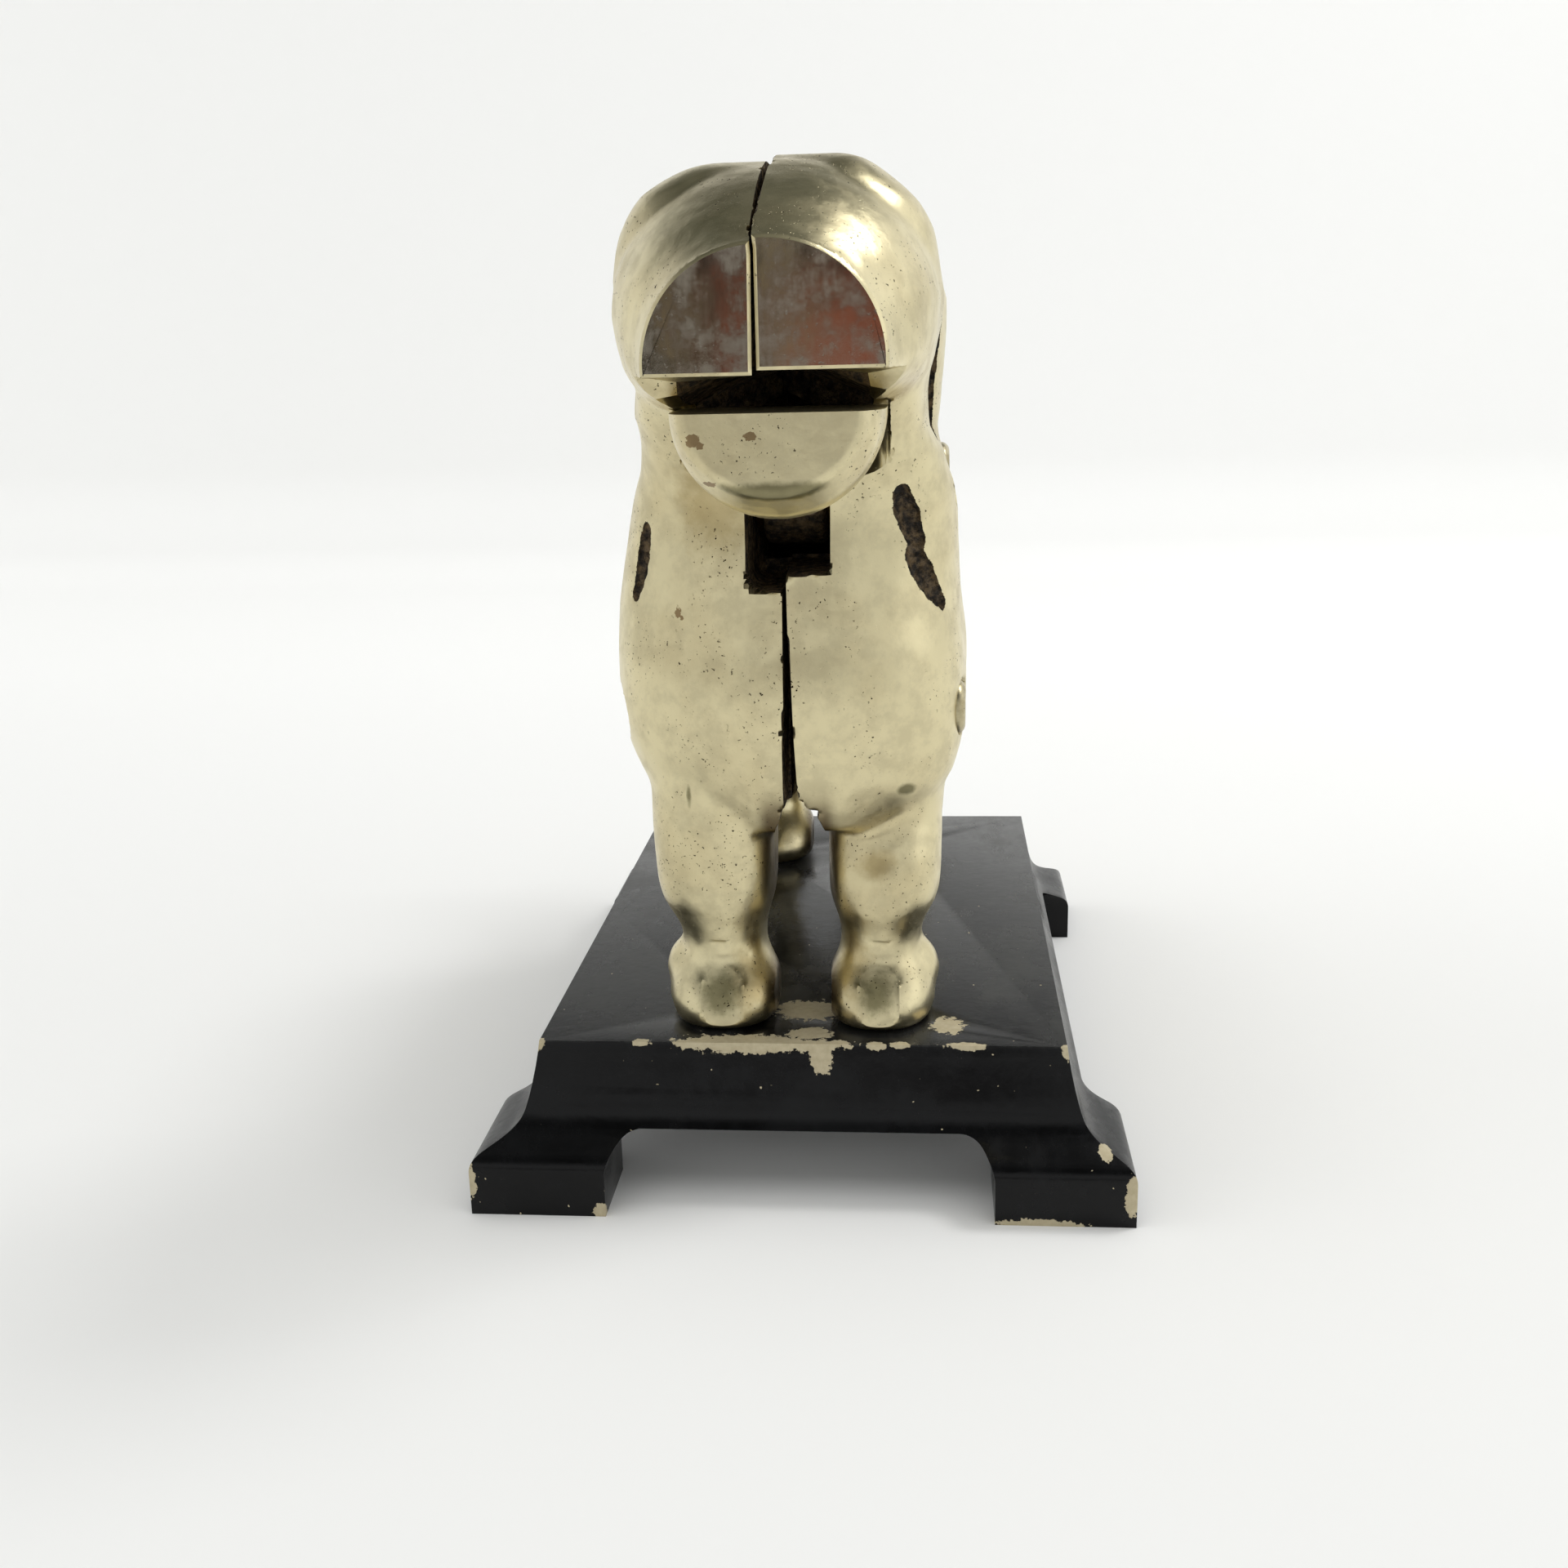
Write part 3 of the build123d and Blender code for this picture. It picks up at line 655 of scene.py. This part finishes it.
for side, name, seam, slot_box, slot_round, shoulder in (
    (1, "right", RIGHT_SEAM, ((-8, -30, 78.3), (4.6, PIVOT_STATION, 99.0)), 0.5, RIGHT_SHOULDER),
    (-1, "left", LEFT_SEAM, ((-5.0, -30, 76.7), (8, PIVOT_STATION, 99.0)), 1.7, LEFT_SHOULDER),
):
    hollows = bmesh.new()
    pitted(hollows, skin, shoulder)
    pitted(hollows, skin, EAR_CREASE, side)
    hollows = sculpted(hollows, "worn_hollows", CAST_GRAIN / 2, 1)
    for face in hollows.faces:
        face.material_index = AS_CAST
    fitted_seam = [(FITTED_AT + 0.05 * side, z) for z in (0, 130)]
    half = combined(
        casting.copy(),
        "DIFFERENCE",
        shaped(beyond_seam, seam, -side, -60, 60 + FITTED_SEAM, surface=AS_CAST),
        shaped(beyond_seam, fitted_seam, -side, -1, 160, surface=AS_CAST),
        shaped(block, *slot_box, slot_round, surface=AS_CAST),
        shaped(ground_facet, MUZZLE_FRONT + RIM_RISE, 1.2, side),
        hollows,
    )
    worn_edges(half, 3, kept_sharp)
    hooves = [v for v in half.verts if DECK_TOP + 1.0 < v.co.z < 31 and v.co.y < DECK_FRONT + 9]
    for _ in range(12):
        bmesh.ops.smooth_vert(
            half, verts=hooves, factor=0.5, use_axis_x=True, use_axis_y=True, use_axis_z=True
        )
    if side == -1:
        for v in half.verts:
            v.co.z = DECK_TOP + (v.co.z - DECK_TOP) * LEFT_SETTLE
    half.normal_update()
    polished_facet(half, Vector((0, -1, 0)), in_front_of_muzzle)
    halves[name] = half
casting.free()


def nickel_material(name, base, rough, tarnish, pores, bump_share):
    """Nickel plate over cast and wheeled brass: a warm grey satin metal with open casting pores, yellow-brown
    tarnish in its hollows and a fine scratch, so highlights are broad and break up at close range. Painted
    shade darkens the pastern fronts, the chest's lower edge and the inner faces between the legs, and a
    painted dark reflection runs along the jaw's lower edge."""
    made, tree, where, shader = material(name)
    cloud = add(tree, "MapRange", {0: grain(tree, where, 14.0, 4.0, 0.6), 1: 0.42, 2: 0.7}, **SMOOTH)
    mottle = add(tree, "MapRange", {0: grain(tree, where, 3.2, 5.0, 0.65), 1: 0.4, 2: 0.68}, **SMOOTH)
    pore_field = add(tree, "MapRange", {0: grain(tree, where, 7.0, 3.0), 1: 0.44, 2: 0.6}, **SMOOTH)
    open_pores = add(tree, "MapRange", {0: grain(tree, where, 0.42, 2.0, 0.6), 1: 0.655, 2: 0.70}, **SMOOTH)
    pits = add(tree, "Math", {0: open_pores, 1: pore_field}, **TIMES)
    pits = add(tree, "Math", {0: pits, 1: pores}, **TIMES)
    stains = [
        ((-8.3, -66.0, 94.7), (0.7, 1.5, 0.7)),
        ((-7.6, -66.0, 94.2), (0.4, 1.5, 0.4)),
        ((-2.3, -66.0, 95.1), (0.7, 1.5, 0.45)),
        ((-6.6, -64.0, 90.2), (1.0, 1.6, 0.3)),
        ((-13.4, -44.0, 73.8), (0.5, 5.0, 0.9)),
        ((-13.0, -44.0, 73.2), (0.3, 5.0, 0.4)),
        ((-8.2, -50.0, 118.3), (0.6, 4.0, 0.4)),
    ]
    yellowed = [
        ((-8.6, -49.0, 86.5), (4.4, 5.0, 5.0)),
        ((6.0, -46.0, 28.4), (2.6, 6.0, 3.4)),
        ((-6.0, -46.0, 27.0), (3.0, 6.0, 4.0)),
        ((9.4, -46.5, 41.8), (2.4, 4.0, 1.8)),
        ((11.0, -55.0, 100.5), (4.0, 6.0, 2.4)),
        ((-10.0, -55.0, 100.0), (4.0, 6.0, 2.0)),
    ]
    # Painted shade: dark olive spots on the pastern fronts and the chest's lower edge, and a painted dark
    # reflection along the jaw's lower rolled edge.
    painted_shade_spots = [
        ((-10.2, -46.6, 25.6), (2.6, 2.6, 3.2)),
        ((9.4, -46.6, 25.6), (2.4, 2.6, 3.0)),
        ((13.3, -44.0, 51.6), (1.1, 4.0, 0.8)),
        ((-13.2, -43.0, 51.0), (0.35, 4.0, 1.8)),
        ((0.4, -65.7, 89.3), (7.4, 1.0, 1.1)),
    ]
    # Painted shade between the legs: brown darkening of faces near the median below the belly.
    aside = add(tree, "Math", {0: add(tree, "SeparateXYZ", {0: where})}, operation="ABSOLUTE")
    near_median_shade = add(tree, "MapRange", {0: aside, 1: 5.4, 2: 3.4}, **SMOOTH)
    level = add(tree, "SeparateXYZ", {0: where}, out=2)
    low = add(tree, "MapRange", {0: level, 1: 54.0, 2: 47.0}, **SMOOTH)
    colour = linear(base)
    for share, amount, tint in (
        (cloud, tarnish, "#a8946a"),
        (mottle, 0.22, "#8f866f"),
        (patches(tree, where, yellowed, 1.2, 1.8, 0.5), 0.45, "#8f7434"),
        # Painted shade and painted dark reflection, dark olive.
        (patches(tree, where, painted_shade_spots, 0.9, 1.6, 0.35), 0.75, "#54502f"),
        (patches(tree, where, stains, 1.6, 0.5), 0.75, "#6b4a24"),
        # Painted shade between the legs, brown.
        (add(tree, "Math", {0: near_median_shade, 1: low}, **TIMES), 0.85, "#4f3c26"),
    ):
        over = add(tree, "Math", {0: share, 1: amount}, **TIMES)
        colour = add(tree, "Mix", {0: over, 6: colour, 7: linear(tint)}, **BLEND)
    colour = add(tree, "Mix", {0: pits, 6: colour, 7: linear("#2b2318")}, **BLEND)
    tree.links.new(colour, shader.inputs["Base Color"])
    shader.inputs["Metallic"].default_value = 1.0
    mottle_rough = add(tree, "Math", {0: mottle, 1: 0.10}, **TIMES)
    scratch = add(tree, "Math", {0: grain(tree, where, 0.7, 3.0, 0.6, (1.0, 1.0, 0.12)), 1: 0.08}, **TIMES)
    uneven = add(tree, "Math", {0: mottle_rough, 1: scratch}, **PLUS)
    uneven = add(tree, "Math", {0: uneven, 1: rough}, **PLUS)
    pit_rough = add(tree, "Math", {0: pits, 1: 0.3}, **TIMES)
    tree.links.new(add(tree, "Math", {0: uneven, 1: pit_rough}, **PLUS), shader.inputs["Roughness"])
    lumps = add(tree, "Math", {0: grain(tree, where, 6.0, 2.0), 1: 0.5}, **TIMES)
    fine = add(tree, "Math", {0: grain(tree, where, 0.5, 3.0), 1: 0.03}, **TIMES)
    pit_depth = add(tree, "Math", {0: pits, 1: 0.14}, **TIMES)
    height = add(tree, "Math", {0: add(tree, "Math", {0: lumps, 1: fine}, **PLUS), 1: pit_depth}, **MINUS)
    relief = add(tree, "Bump", {"Height": height, "Strength": bump_share, "Distance": MM})
    tree.links.new(relief, shader.inputs["Normal"])
    return made


def as_cast_material():
    """The bare inside of a sand casting that the wheel can't reach: brown, scaly and dull, mottled down to
    near black as painted shade, so a slot reads as a dark gap with a few rough glints."""
    made, tree, where, shader = material("as_cast_brass_with_painted_shade")
    scale = add(tree, "MapRange", {0: grain(tree, where, 1.4, 4.0, 0.7), 1: 0.38, 2: 0.66}, **SMOOTH)
    # Painted shade: the near-black end darkens the slots, the mouth and the pits that this surface lines.
    colour = add(tree, "Mix", {0: scale, 6: linear("#1d1812"), 7: linear("#6f5c40")}, **BLEND)
    tree.links.new(colour, shader.inputs["Base Color"])
    glint = add(tree, "MapRange", {0: grain(tree, where, 0.8, 3.0), 1: 0.3, 2: 0.9}, **SMOOTH)
    tree.links.new(glint, shader.inputs["Metallic"])
    tree.links.new(add(tree, "MapRange", {0: scale, 3: 0.75, 4: 0.5}), shader.inputs["Roughness"])
    sand = grain(tree, where, 0.9, 4.0, 0.7)
    relief = add(tree, "Bump", {"Height": sand, "Strength": 0.9, "Distance": 0.5 * MM})
    tree.links.new(relief, shader.inputs["Normal"])
    return made


satin_nickel = nickel_material("satin_nickel_plate_on_cast_brass", "#dcd1aa", 0.25, 0.3, 1.0, 0.5)
mirror_nickel = nickel_material("ground_and_polished_nickel_flat", "#c6c0b2", 0.05, 0.15, 0.25, 0.05)
plated_casting = (satin_nickel, mirror_nickel, as_cast_material())
for name, half in halves.items():
    body_casting = finished(half, f"body_casting_{name}", "body", "nickel_plate", *plated_casting)
    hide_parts(f"body_half_{name}")


# ---------------------------------------------------------------- The jaw and tail lever
# One brass casting: a bowl-shaped jaw, a neck and hub, a flat plate inside the body, and a round tail that
# curls up behind. It is plated like the body, and its hub is bored for the pivot pin.

JAW_TOP = 97.4
JAW_BACK = 17.6
LEVER_HALF = 3.9
HUB = 8.0
PIN_BORE = 3.05
bowl = shaped(
    lofted,
    [
        (-16.0, -0.2, JAW_TOP, 8.4, 7.4, 1.0),
        (-15.95, -0.2, JAW_TOP, 9.2, 8.1, 1.0),
        (-15.6, -0.2, JAW_TOP, 9.8, 8.7, 1.0),
        (-14.8, -0.2, JAW_TOP, 10.3, 9.3, 1.0),
        (-13.6, -0.1, JAW_TOP, 10.9, 10.2, 1.0),
        (-12.0, 0, JAW_TOP, 11.3, 11.1, 1.0),
        (-8.0, 0, JAW_TOP, 11.6, 11.6, 1.0),
        (1.0, 0, JAW_TOP, 11.6, 11.6, 1.0),
    ],
    lying=True,
)
bowl = combined(
    bowl,
    "DIFFERENCE",
    shaped(block, (-30, -40, JAW_TOP), (30, 40, 130)),
    shaped(rod, JAW_BACK, -30, 30, PIVOT_STATION, PIVOT_LEVEL),
)
rim = [e for e in bowl.edges if e.is_manifold and e.calc_face_angle(0.0) > math.radians(50)]
bmesh.ops.bevel(
    bowl, geom=rim, offset=0.7, offset_type="OFFSET", affect="EDGES", segments=5, profile=0.5, material=-1,
    clamp_overlap=True,
)
arm = bmesh.new()
block(arm, (-LEVER_HALF, -5.0, 85.6), (LEVER_HALF, PIVOT_STATION, 94.0), 0.6)
rod(arm, HUB, -LEVER_HALF, LEVER_HALF, PIVOT_STATION, PIVOT_LEVEL)
plate_outline = [(14.5, 94.9), (62, 76.6), (94, 73.4), (94, 65.2), (62, 67.6), (14.5, 81.9)]
prism(arm, [spot(-LEVER_HALF, station, z) for station, z in plate_outline], (2 * LEVER_HALF, 0, 0))
tail_line = [
    (86, 69.3, 3.9), (95, 69.8, 4.2), (104, 73.2, 4.7), (110.5, 81, 4.8), (113.4, 91, 4.5), (114, 102, 4.0),
    (112.9, 113, 3.6),
]
swept(arm, smooth_run(tail_line, 6))
arm = sculpted(arm, "lever_clay", 0.5, 8)
lever = combined(arm, "UNION", bowl)
lever = combined(lever, "DIFFERENCE", shaped(rod, PIN_BORE, -10, 10, PIVOT_STATION, PIVOT_LEVEL))
# The lever's faces inside the slot and mouth take the as-cast surface, with its painted shade.
for face in lever.faces:
    middle = face.calc_center_median()
    if DECK_FRONT - 5.5 < middle.y < DECK_FRONT + 70 and abs(middle.x) < SLOT_HALF:
        face.material_index = AS_CAST
lever_casting = finished(lever, "jaw_and_tail_casting", "lever", "nickel_plate", *plated_casting)
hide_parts("jaw_tail_lever")


# ---------------------------------------------------------------- Pins, washers and screws
# The pins are turned brass, peened over and plated with the castings. The thrust washers are plain brass
# sheet. The screws and washers that hold the animal down from below are dull zinc-plated steel.


def turned_material(name, base, stain, rough):
    """A small turned or stamped part: fine tool lines, cloudy handling stains and a few dark nicks."""
    made, tree, where, shader = material(name)
    cloud = add(tree, "MapRange", {0: grain(tree, where, 1.8, 4.0, 0.6), 1: 0.38, 2: 0.7}, **SMOOTH)
    nicks = add(tree, "MapRange", {0: grain(tree, where, 0.35, 2.0), 1: 0.68, 2: 0.73}, **SMOOTH)
    stained = add(tree, "Math", {0: cloud, 1: 0.6}, **TIMES)
    colour = add(tree, "Mix", {0: stained, 6: linear(base), 7: linear(stain)}, **BLEND)
    nicked = add(tree, "Math", {0: nicks, 1: 0.7}, **TIMES)
    colour = add(tree, "Mix", {0: nicked, 6: colour, 7: linear("#241f18")}, **BLEND)
    tree.links.new(colour, shader.inputs["Base Color"])
    shader.inputs["Metallic"].default_value = 1.0
    cloud_rough = add(tree, "Math", {0: cloud, 1: 0.18}, **TIMES)
    tree.links.new(add(tree, "Math", {0: cloud_rough, 1: rough}, **PLUS), shader.inputs["Roughness"])
    lines = add(tree, "Math", {0: grain(tree, where, 0.22, 2.0, 0.5, (0.2, 1.0, 1.0)), 1: 0.02}, **TIMES)
    nick_depth = add(tree, "Math", {0: nicks, 1: 0.06}, **TIMES)
    height = add(tree, "Math", {0: lines, 1: nick_depth}, **MINUS)
    relief = add(tree, "Bump", {"Height": height, "Strength": 0.5, "Distance": MM})
    tree.links.new(relief, shader.inputs["Normal"])
    return made


peened_nickel = turned_material("peened_nickel_plated_pin", "#c2b897", "#8f8260", 0.28)
sheet_brass = turned_material("plain_sheet_brass", "#b08d48", "#6f5526", 0.3)
zinc_plate = turned_material("dull_zinc_plated_steel", "#9c9d9a", "#6d6a62", 0.38)
for node_name, node in frame["nodes"].items():
    if "rivet" in node_name or node_name == "pivot_pin":
        surface = peened_nickel
    elif "pivot_washer" in node_name:
        surface = sheet_brass
    elif node_name.startswith("base_"):
        surface = zinc_plate
    else:
        continue
    node.data.materials.clear()
    node.data.materials.append(surface)


# ---------------------------------------------------------------- Studio
# A pale sweep of paper under soft light from above and both sides, seen from just above the animal's brow.

CAMERA_AT = (0.0156, -0.2365, 0.1047)
CAMERA_YAW, CAMERA_PITCH, CAMERA_ROLL = 5.13, -15.28, -1.44
CAMERA_LENS = 37.4
WALL_AT = 0.52


def paper_sweep():
    """Floor that turns up into a wall behind, in one sweep of white paper."""
    bm = bmesh.new()
    start = [bm.verts.new((x, -3.0, 0)) for x in (-3.0, 3.0)]
    edge = bm.edges.new(start)
    along = [edge]
    for step in ((0, 3.0 + WALL_AT - 0.05, 0), (0, 0.035, 0.015), (0, 0.015, 0.035), (0, 0, 0.4)):
        grown = bmesh.ops.extrude_edge_only(bm, edges=along)["geom"]
        bmesh.ops.translate(bm, vec=step, verts=[g for g in grown if isinstance(g, bmesh.types.BMVert)])
        along = [g for g in grown if isinstance(g, bmesh.types.BMEdge)]
    bmesh.ops.recalc_face_normals(bm, faces=bm.faces)
    mesh = bpy.data.meshes.new("paper_sweep")
    bm.to_mesh(mesh)
    bm.free()
    mesh.shade_smooth()
    made, _, _, shader = material("matt_white_paper")
    shader.inputs["Base Color"].default_value = (0.86, 0.86, 0.85, 1)
    shader.inputs["Roughness"].default_value = 0.8
    mesh.materials.append(made)
    piece = bpy.data.objects.new("paper_sweep", mesh)
    bpy.context.scene.collection.objects.link(piece)
    piece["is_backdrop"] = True


def soft_room():
    """A white room with dark beams overhead; its side behind the viewer is unlit, with warm things in it."""
    world = bpy.data.worlds.new("soft_room")
    world.use_nodes = True
    tree = world.node_tree
    way = add(tree, "TexCoord", out="Generated")
    reds = [((-0.147, -0.99, 0.005), (0.012, 0.2, 0.05)), ((0.0, -1.0, -0.005), (0.034, 0.2, 0.036))]
    creams = [((-0.19, -0.98, 0.012), (0.009, 0.2, 0.03)), ((-0.045, -1.0, 0.02), (0.009, 0.2, 0.09))]
    red = patches(tree, way, reds, 0.4, 0.08, 0.35)
    cream = patches(tree, way, creams, 0.4, 0.06, 0.35)
    dim = add(tree, "Mix", {0: red, 6: linear("#241f1a"), 7: linear("#9c5f4b")}, **BLEND)
    dim = add(tree, "Mix", {0: cream, 6: dim, 7: linear("#a89a80")}, **BLEND)
    depth = add(tree, "SeparateXYZ", {0: way}, out=1)
    rise = add(tree, "SeparateXYZ", {0: way}, out=2)
    behind = add(tree, "MapRange", {0: depth, 1: -0.94, 2: -0.972}, **SMOOTH)
    not_above = add(tree, "MapRange", {0: rise, 1: 0.13, 2: 0.06}, **SMOOTH)
    streaks = grain(tree, way, 0.5, 1.0, 0.5, (0.4, 2.0, 1))
    beams = add(tree, "MapRange", {0: streaks, 1: 0.4, 2: 0.62}, **SMOOTH)
    beam_shade = add(tree, "MapRange", {0: beams, 3: 0.75, 4: 1.0})
    high_up = add(tree, "MapRange", {0: rise, 1: 0.42, 2: 0.7}, **SMOOTH)
    overhead = add(tree, "Math", {0: high_up, 1: beam_shade}, **TIMES)
    room = add(tree, "Mix", {0: overhead, 6: linear("#f2f3f2"), 7: linear("#43463f")}, **BLEND)
    unlit = add(tree, "Math", {0: behind, 1: not_above}, **TIMES)
    room = add(tree, "Mix", {0: unlit, 6: room, 7: dim}, **BLEND)
    tree.links.new(room, tree.nodes["Background"].inputs["Color"])
    tree.nodes["Background"].inputs["Strength"].default_value = 0.95
    return world


def area_light(name, at, aim, size, power):
    """A soft square light that looks at aim."""
    lamp = bpy.data.lights.new(name, "AREA")
    lamp.shape = "RECTANGLE"
    lamp.size, lamp.size_y = size
    lamp.energy = power
    held = bpy.data.objects.new(name, lamp)
    held.location = at
    held.rotation_euler = (Vector(aim) - Vector(at)).to_track_quat("-Z", "Y").to_euler()
    bpy.context.scene.collection.objects.link(held)
    return held


paper_sweep()
area_light("ceiling_panel", (0.5, 0.16, 0.84), (0, 0, 0.08), (0.22, 0.3), 2.6)
area_light("left_window", (-1.1, 0.0, 0.5), (0, 0, 0.07), (1.0, 1.0), 3.6).visible_glossy = False
area_light("right_window", (1.1, 0.1, 0.5), (0, 0, 0.07), (1.7, 1.7), 3.6)
area_light("bounced_daylight", (0, 0, 1.4), (0, 0, 0), (2.0, 2.0), 12.0).visible_glossy = False
bpy.context.scene.world = soft_room()
bpy.context.scene.view_settings.view_transform = "Standard"

lens = bpy.data.cameras.new("camera")
lens.lens = CAMERA_LENS
lens.sensor_width = 36.0
lens.clip_start = 0.01
camera = bpy.data.objects.new("camera", lens)
camera.matrix_world = (
    Matrix.Translation(CAMERA_AT)
    @ Matrix.Rotation(math.radians(CAMERA_YAW), 4, "Z")
    @ Matrix.Rotation(math.radians(90 + CAMERA_PITCH), 4, "X")
    @ Matrix.Rotation(math.radians(CAMERA_ROLL), 4, "Z")
)
bpy.context.scene.collection.objects.link(camera)
bpy.context.scene.camera = camera

low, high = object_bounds()
